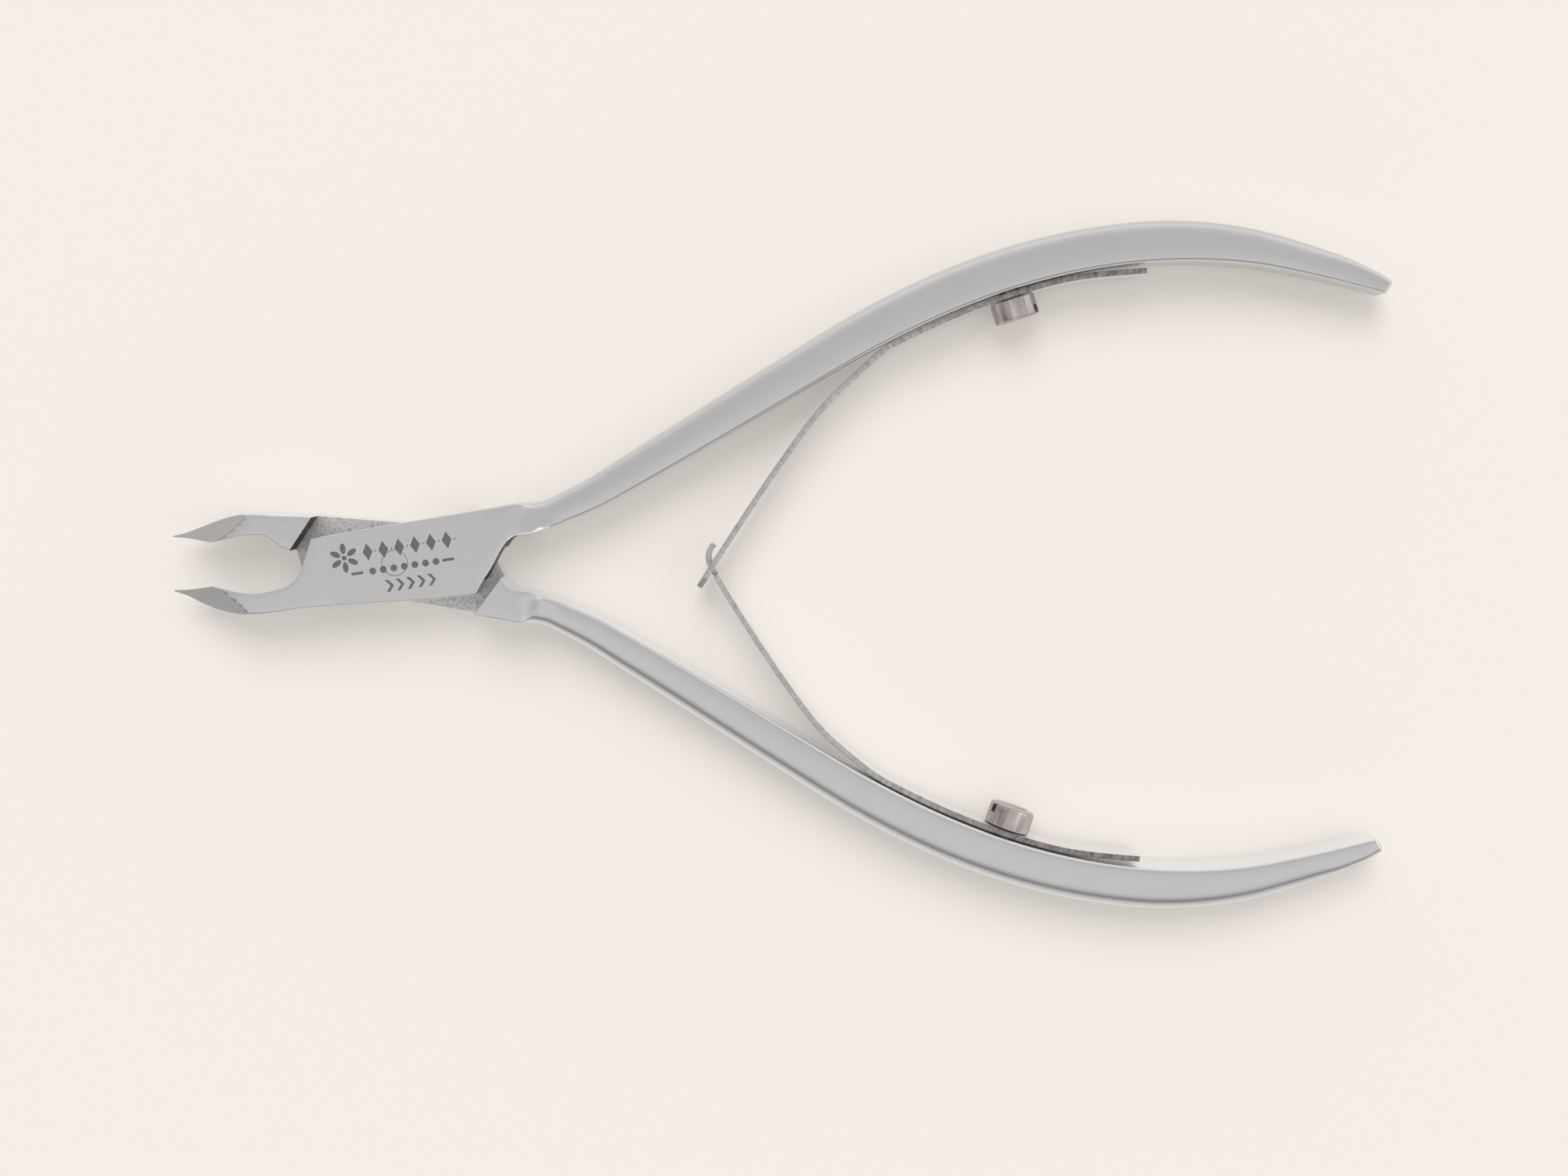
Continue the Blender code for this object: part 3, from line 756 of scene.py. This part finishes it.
class Nodes:
    """A short way to write the node tree of a material or of the world."""

    def __init__(self, owner, shader="Principled BSDF"):
        owner.use_nodes = True
        self.owner = owner
        self.tree = owner.node_tree
        self.shader = self.tree.nodes[shader]

    def add(self, kind, settings=None, **inputs):
        """A node of a kind, with its settings, and its inputs by name."""
        node = self.tree.nodes.new(kind)
        for key, value in (settings or {}).items():
            setattr(node, key, value)
        for key, value in inputs.items():
            self.put(node, key.replace("_", " "), value)
        return node

    def put(self, node, socket, value):
        """Links a socket to an input, or sets the input to a plain value."""
        if isinstance(value, bpy.types.NodeSocket):
            self.tree.links.new(value, node.inputs[socket])
        else:
            node.inputs[socket].default_value = value

    def math(self, operation, a, b=0.0, clamp=False):
        node = self.add("ShaderNodeMath", {"operation": operation, "use_clamp": clamp})
        self.put(node, 0, a)
        self.put(node, 1, b)
        return node.outputs[0]

    def place(self, scale):
        """Object coordinates, in units of one over the scale."""
        coordinates = self.add("ShaderNodeTexCoord")
        mapping = self.add("ShaderNodeMapping", Vector=coordinates.outputs["Object"], Scale=scale)
        return mapping.outputs[0]

    def grain(self, scale):
        """The UV map that runs along and around a piece, stretched by the scale."""
        coordinates = self.add("ShaderNodeUVMap", {"uv_map": "grain"})
        mapping = self.add("ShaderNodeMapping", Vector=coordinates.outputs[0], Scale=scale)
        return mapping.outputs[0]

    def noise(self, vector, detail=3.0, roughness=0.6):
        node = self.add("ShaderNodeTexNoise", Vector=vector, Scale=1.0, Detail=detail, Roughness=roughness)
        return node.outputs["Fac"]

    def span(self, value, low, high, start=0.0, end=1.0):
        """low to high as the value goes from start to end."""
        node = self.add("ShaderNodeMapRange", Value=value)
        for index, limit in enumerate((start, end, low, high), 1):
            node.inputs[index].default_value = limit
        return node.outputs[0]

    def mix(self, share, a, b):
        node = self.add("ShaderNodeMix", {"data_type": "RGBA"})
        self.put(node, 0, share)
        self.put(node, 6, a)
        self.put(node, 7, b)
        return node.outputs[2]

    def bump(self, height, strength, distance, normal=None):
        node = self.add("ShaderNodeBump", Height=height, Strength=strength, Distance=distance)
        if normal is not None:
            self.put(node, "Normal", normal)
        return node.outputs[0]


def satin_steel(name, tone, painted_wall_light, rough):
    """Satin-finished stainless steel: brushed along the piece, faintly clouded, with a few tiny pits. Its
    upright faces are painted in a wall tone of their own, painted light that makes them lighter or darker
    than the steel by how the light falls on them.
    """
    n = Nodes(bpy.data.materials.new(name))
    brushing = n.noise(n.grain((350, 26000, 1)), 2.0, 0.5)
    clouds = n.noise(n.place((260, 260, 260)), 3.0, 0.55)
    frost = n.noise(n.place((9000, 9000, 9000)), 2.0, 0.6)
    pits = n.add("ShaderNodeTexVoronoi", {"feature": "F1"}, Vector=n.place((420, 420, 420)))
    chance = n.noise(n.place((300, 300, 300)), 0.0)
    near_point = n.math("LESS_THAN", pits.outputs["Distance"], 0.05)
    is_pit = n.math("MULTIPLY", near_point, n.math("GREATER_THAN", chance, 0.58))
    light = tuple(min(1, c * 1.025) for c in tone)
    dark = tuple(c * 0.965 for c in tone)
    colour = n.mix(clouds, (*dark, 1), (*light, 1))
    facing = n.add("ShaderNodeNewGeometry")
    upright = n.add("ShaderNodeSeparateXYZ", None, Vector=facing.outputs["Normal"])
    # painted light: the upright faces are painted in the wall tone, lighter or darker than the steel by how
    # the light falls on them
    wall = n.span(n.math("ABSOLUTE", upright.outputs["Z"]), 1.0, 0.0, 0.4, 0.88)
    colour = n.mix(wall, colour, (*painted_wall_light, 1))
    colour = n.mix(n.math("MULTIPLY", is_pit, 0.7), colour, (0.12, 0.11, 0.1, 1))
    n.put(n.shader, "Base Color", colour)
    n.shader.inputs["Metallic"].default_value = 1
    roughness = n.math("ADD", n.span(clouds, rough - 0.02, rough + 0.02), n.span(frost, -0.02, 0.02))
    n.put(n.shader, "Roughness", roughness)
    edge = n.add("ShaderNodeBevel", {"samples": 4}, Radius=EDGE_EASE)
    normal = n.bump(brushing, 0.04, 0.00002, edge.outputs[0])
    normal = n.bump(frost, 0.04, 0.00002, normal)
    n.put(n.shader, "Normal", normal)
    return n.owner


def ground_facet(name, tone):
    """The jaw's ground facet: darker, with a fine sandy tooth from the grinding wheel."""
    n = Nodes(bpy.data.materials.new(name))
    tooth = n.noise(n.place((2600, 2600, 2600)), 4.0, 0.65)
    lines = n.noise(n.place((900, 9000, 900)), 2.0, 0.5)
    dark, light = [(*(c * share for c in tone), 1) for share in (0.9, 1.06)]
    n.put(n.shader, "Base Color", n.mix(tooth, dark, light))
    n.shader.inputs["Metallic"].default_value = 1
    n.put(n.shader, "Roughness", n.span(tooth, 0.3, 0.42))
    n.put(n.shader, "Normal", n.bump(lines, 0.06, 0.00002, n.bump(tooth, 0.05, 0.00002)))
    return n.owner


def milled_recess(name):
    """The lap's unpolished floor: pale matt grey, with dark specks."""
    n = Nodes(bpy.data.materials.new(name))
    specks = n.noise(n.place((3200, 3200, 3200)), 5.0, 0.75)
    stains = n.noise(n.place((700, 700, 700)), 3.0, 0.6)
    coordinates = n.add("ShaderNodeTexCoord")
    parts = n.add("ShaderNodeSeparateXYZ", None, Vector=coordinates.outputs["Object"])
    near_jaw = n.span(parts.outputs["X"], 0.4, 0.0, -0.0095, -0.0055)
    spots = n.math("ADD", n.span(specks, 0.0, 1.0, 0.47, 0.66), near_jaw, True)
    spots = n.math("MULTIPLY", spots, n.span(stains, 0.35, 0.85, 0.3, 0.7))
    n.put(n.shader, "Base Color", n.mix(spots, (0.67, 0.66, 0.65, 1), (0.2, 0.195, 0.19, 1)))
    n.shader.inputs["Metallic"].default_value = 0.85
    n.put(n.shader, "Roughness", n.span(specks, 0.42, 0.62))
    n.put(n.shader, "Normal", n.bump(specks, 0.22, 0.00004))
    return n.owner


def painted_shade_wall(name):
    """A wall left from shaping the lap, painted near black as painted shade, with pale streaks across its
    depth.
    """
    n = Nodes(bpy.data.materials.new(name))
    streaks = n.noise(n.place((5200, 5200, 700)), 3.0, 0.65)
    pale = n.span(streaks, 0.0, 1.0, 0.45, 0.75)
    n.put(n.shader, "Base Color", n.mix(pale, (0.035, 0.034, 0.033, 1), (0.3, 0.29, 0.28, 1)))
    n.shader.inputs["Metallic"].default_value = 0.7
    n.put(n.shader, "Roughness", n.span(streaks, 0.45, 0.65))
    n.put(n.shader, "Normal", n.bump(streaks, 0.3, 0.00004))
    return n.owner


def scraped_floor(name):
    """The lap's floor by the far shoulder: pale metal under dark streaks that run along the shoulder."""
    n = Nodes(bpy.data.materials.new(name))
    coordinates = n.add("ShaderNodeTexCoord")
    turned_to = n.add("ShaderNodeMapping", Vector=coordinates.outputs["Object"],
                      Rotation=(0, 0, SHOULDER_TURN))
    drawn_out = n.add("ShaderNodeMapping", Vector=turned_to.outputs[0], Scale=(700, 5200, 700))
    streaks = n.noise(drawn_out.outputs[0], 4.0, 0.65)
    specks = n.noise(n.place((3200, 3200, 3200)), 4.0, 0.7)
    parts = n.add("ShaderNodeSeparateXYZ", None, Vector=turned_to.outputs[0])
    near_shoulder = n.span(parts.outputs["X"], 0.6, 0.0, 0.0008, 0.0058)
    spots = n.math("ADD", n.span(streaks, 0.0, 1.0, 0.36, 0.6), near_shoulder, True)
    spots = n.math("MULTIPLY", spots, n.span(specks, 0.7, 1.0, 0.35, 0.6))
    n.put(n.shader, "Base Color", n.mix(spots, (0.5, 0.49, 0.48, 1), (0.05, 0.049, 0.047, 1)))
    n.shader.inputs["Metallic"].default_value = 0.85
    n.put(n.shader, "Roughness", n.span(specks, 0.4, 0.6))
    n.put(n.shader, "Normal", n.bump(streaks, 0.3, 0.00004))
    return n.owner


def painted_highlight_edge(name):
    """The thin edge where a face meets a wall, painted near white as a painted highlight."""
    n = Nodes(bpy.data.materials.new(name))
    nicks = n.noise(n.place((1800, 1800, 1800)), 3.0, 0.6)
    n.put(n.shader, "Base Color", n.mix(nicks, (0.7, 0.7, 0.7, 1), (1, 1, 1, 1)))
    n.shader.inputs["Metallic"].default_value = 0.2
    n.put(n.shader, "Roughness", n.span(nicks, 0.4, 0.55))
    return n.owner


def etched(name):
    """The mark's laser-darkened floor."""
    n = Nodes(bpy.data.materials.new(name))
    burn = n.noise(n.place((5000, 5000, 5000)), 4.0, 0.7)
    n.put(n.shader, "Base Color", n.mix(burn, (0.1, 0.1, 0.1, 1), (0.24, 0.235, 0.23, 1)))
    n.shader.inputs["Metallic"].default_value = 0.6
    n.put(n.shader, "Roughness", n.span(burn, 0.5, 0.7))
    n.put(n.shader, "Normal", n.bump(burn, 0.2, 0.00003))
    return n.owner


def spring_steel(name, tone):
    """Rolled strip whose broad faces are painted near white as painted light. Its sheared edges have cross
    marks, browner where it is clamped.
    """
    n = Nodes(bpy.data.materials.new(name))
    shear = n.noise(n.grain((2600, 900, 1)), 4.0, 0.75)
    specks = n.noise(n.place((2300, 2300, 2300)), 3.0, 0.7)
    coordinates = n.add("ShaderNodeTexCoord")
    parts = n.add("ShaderNodeSeparateXYZ", None, Vector=coordinates.outputs["Object"])
    clamped = n.span(parts.outputs["X"], 0.0, 1.0, 0.042, 0.058)
    marks = n.span(shear, 0.0, 1.0, 0.3, 0.66)
    pale = n.mix(marks, (*(c * 0.7 for c in tone), 1), (*(c * 1.25 for c in tone), 1))
    brown = n.mix(marks, (0.1, 0.088, 0.084, 1), (0.4, 0.365, 0.35, 1))
    worn = n.mix(clamped, pale, brown)
    worn = n.mix(n.span(specks, 0.0, 0.6, 0.66, 0.74), worn, (0.05, 0.045, 0.04, 1))
    facing = n.add("ShaderNodeNewGeometry")
    upright = n.add("ShaderNodeSeparateXYZ", None, Vector=facing.outputs["Normal"])
    # painted light: the broad faces are painted near white
    broad_face_painted_light = n.span(n.math("ABSOLUTE", upright.outputs["Z"]), 1.0, 0.0, 0.2, 0.6)
    n.put(n.shader, "Base Color", n.mix(broad_face_painted_light, worn, (0.86, 0.87, 0.88, 1)))
    n.shader.inputs["Metallic"].default_value = 1
    n.put(n.shader, "Roughness", n.span(specks, 0.3, 0.44))
    n.put(n.shader, "Normal", n.bump(shear, 0.25, 0.00004))
    return n.owner


def nickel(name):
    """A plated screw: pinkish metal, with dark and light bands along its axis, dulled in patches."""
    n = Nodes(bpy.data.materials.new(name))
    patches = n.noise(n.place((900, 900, 900)), 4.0, 0.6)
    bands = n.noise(n.grain((120, 1500, 1)), 3.0, 0.6)
    lathe = n.noise(n.grain((9000, 300, 1)), 2.0, 0.5)
    pits = n.span(n.noise(n.place((4200, 4200, 4200)), 2.0, 0.6), 0.0, 1.0, 0.66, 0.74)
    colour = n.mix(n.span(bands, 0.0, 1.0, 0.35, 0.65), (0.26, 0.235, 0.23, 1), (0.66, 0.6, 0.59, 1))
    colour = n.mix(n.span(patches, 0.0, 0.6, 0.45, 0.75), colour, (0.52, 0.45, 0.44, 1))
    n.put(n.shader, "Base Color", n.mix(pits, colour, (0.08, 0.07, 0.065, 1)))
    n.shader.inputs["Metallic"].default_value = 1
    n.put(n.shader, "Roughness", n.span(patches, 0.2, 0.42))
    edge = n.add("ShaderNodeBevel", {"samples": 4}, Radius=EDGE_EASE)
    n.put(n.shader, "Normal", n.bump(lathe, 0.14, 0.00003, edge.outputs[0]))
    return n.owner


# ---- the stage ----


def studio_light():
    """A light tent, brightest on the far side and dim on the near side, and a key light over the far side."""
    world = bpy.data.worlds.new("light_tent")
    n = Nodes(world, "Background")
    bpy.context.scene.world = world
    coordinates = n.add("ShaderNodeTexCoord")
    parts = n.add("ShaderNodeSeparateXYZ", Vector=coordinates.outputs["Generated"])
    angle = n.math("ARCTAN2", parts.outputs["Z"], parts.outputs["Y"])
    ramp = n.add("ShaderNodeValToRGB", Fac=n.math("DIVIDE", angle, math.pi))
    ramp.color_ramp.interpolation = "B_SPLINE"
    stops = ramp.color_ramp.elements
    for index, (place, level) in enumerate(TENT_LEVELS):
        stop = stops[index] if index < 2 else stops.new(place)
        stop.position = place
        stop.color = (level, level, level * 0.99, 1)
    ends = []
    for start, end, low, high in ((0.45, 0.95, 1.0, 1.0 + END_PANEL), (-0.9, -0.35, JAW_END_LEVEL, 1.0)):
        eased = n.add("ShaderNodeMapRange", {"interpolation_type": "SMOOTHSTEP"}, Value=parts.outputs["X"])
        for index, limit in enumerate((start, end, low, high), 1):
            eased.inputs[index].default_value = limit
        ends.append(eased.outputs[0])
    n.put(n.shader, "Color", ramp.outputs[0])
    n.put(n.shader, "Strength", n.math("MULTIPLY", n.math("MULTIPLY", *ends), TENT_STRENGTH))
    sun = bpy.data.lights.new("key", "SUN")
    sun.energy = KEY_STRENGTH
    sun.angle = math.radians(KEY_SOFTNESS)
    key = bpy.data.objects.new("key", sun)
    key.rotation_euler = Vector(KEY_DIRECTION).to_track_quat("Z", "Y").to_euler()
    key.visible_glossy = False
    bpy.context.collection.objects.link(key)


def table_top():
    """A pale matt table top just under the rest face, which glows a little like a lit backdrop."""
    low, high = cad_box
    centre = (low + high) / 2
    table_mesh = bpy.data.meshes.new("table_top")
    corners = [(x * TABLE_SPAN, y * TABLE_SPAN, 0) for x, y in ((-1, -1), (1, -1), (1, 1), (-1, 1))]
    table_mesh.from_pydata(corners, [], [(0, 1, 2, 3)])
    top = bpy.data.objects.new("table_top", table_mesh)
    top.location = (centre.x, centre.y, low.z - TABLE_DROP)
    bpy.context.collection.objects.link(top)
    n = Nodes(bpy.data.materials.new("pale_table"))
    n.put(n.shader, "Base Color", (*TABLE_TONE, 1))
    n.put(n.shader, "Emission Color", (*TABLE_TONE, 1))
    n.put(n.shader, "Emission Strength", TABLE_GLOW / TABLE_TONE[0])
    n.put(n.shader, "Roughness", 0.9)
    n.put(n.shader, "Specular IOR Level", 0.1)
    table_mesh.materials.append(n.owner)


def camera():
    """A camera that looks almost straight down."""
    low, high = cad_box
    middle = Vector((*((low + high) / 2).xy, high.z))
    lens = bpy.data.cameras.new("camera")
    lens.sensor_width = 36
    lens.lens = CAMERA_LENS
    lens.shift_y = CAMERA_SHIFT
    lens.clip_start = 0.01
    eye = bpy.data.objects.new("camera", lens)
    eye.location = middle + Vector(CAMERA_EYE)
    back = (eye.location - middle - Vector(CAMERA_AIM)).normalized()
    across = (Vector((1, 0, 0)) - back * back.x).normalized()
    upright = Matrix((across, back.cross(across), back)).transposed()
    eye.rotation_euler = (upright @ Matrix.Rotation(math.radians(CAMERA_ROLL), 3, "Z")).to_euler()
    bpy.context.collection.objects.link(eye)
    bpy.context.scene.camera = eye


def stage():
    """The table, the light and the camera."""
    table_top()
    studio_light()
    camera()
    bpy.context.scene.view_settings.view_transform = "Standard"


def pivot_rivet(look):
    """The rivet, ground flush, with a slight edge round each face."""
    rim = 0.05
    profile = [
        (0, 0), (RIVET_RADIUS - rim, 0), (RIVET_RADIUS, rim), (RIVET_RADIUS, JOINT_DEPTH - rim),
        (RIVET_RADIUS - rim, JOINT_DEPTH), (0, JOINT_DEPTH),
    ]
    return mesh_object("pivot_rivet_peened", turned(profile), look)


def build():
    """Makes every piece, hangs the halves, rivet and screws on the bodies they ride on, and hides the frame's
    parts that each one stands in for.
    """
    shared = {
        "recess": milled_recess("milled_recess"),
        "shaded_wall": painted_shade_wall("painted_shade_wall"),
        "scraped": scraped_floor("scraped_floor"),
        "edge": painted_highlight_edge("painted_highlight_edge"),
    }
    front_looks = shared | {
        # painted shade: the front half's upright faces are painted darker than its steel
        "steel": satin_steel("front_satin_steel", (0.58, 0.57, 0.575), (0.72, 0.725, 0.73), 0.26),
        # painted light: the front facet's tone is made paler than the back facet's to brighten it under the
        # light
        "facet": ground_facet("front_ground_facet", (0.73, 0.725, 0.73)),
    }
    back_looks = shared | {
        # painted light: the back half's upright faces are painted near white
        "steel": satin_steel("back_satin_steel", (0.58, 0.57, 0.575), (0.89, 0.915, 0.94), 0.26),
        "facet": ground_facet("back_ground_facet", (0.67, 0.655, 0.645)),
    }
    front = half("front_half", 1, JAW_LEAN, front_looks)
    back = half("back_half", -1, -JAW_LEAN, back_looks)
    rivet = pivot_rivet(satin_steel("rivet_satin_steel", (0.575, 0.565, 0.57), (0.6, 0.6, 0.6), 0.28))
    etch_look = etched("etched_mark")
    for marked in (front, rivet):
        cut(marked, mark_cutter(), etch_look)
    for piece, node, body, finish_slot in (
        (front, "front_half", "front_half", "front_half_steel"),
        (back, "back_half", "back_half", "back_half_steel"),
        (rivet, "pivot_rivet", "front_half", "rivet_steel"),
    ):
        finished(piece)
        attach(piece, body)
        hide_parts(node)
    upper_strip = spring_steel("upper_strip", (0.5, 0.48, 0.465))
    lower_strip = spring_steel("lower_strip", (0.5, 0.485, 0.47))
    spring("upper_leaf_spring", 1, "upper_spring_blade", UPPER_BLADE, None, upper_strip)
    spring("lower_leaf_spring", -1, "lower_spring_blade", LOWER_BLADE, TONGUE, lower_strip)
    plated = nickel("plated_nickel")
    screw("upper_spring_screw", 1, plated)
    screw("lower_spring_screw", -1, plated)


build()
stage()
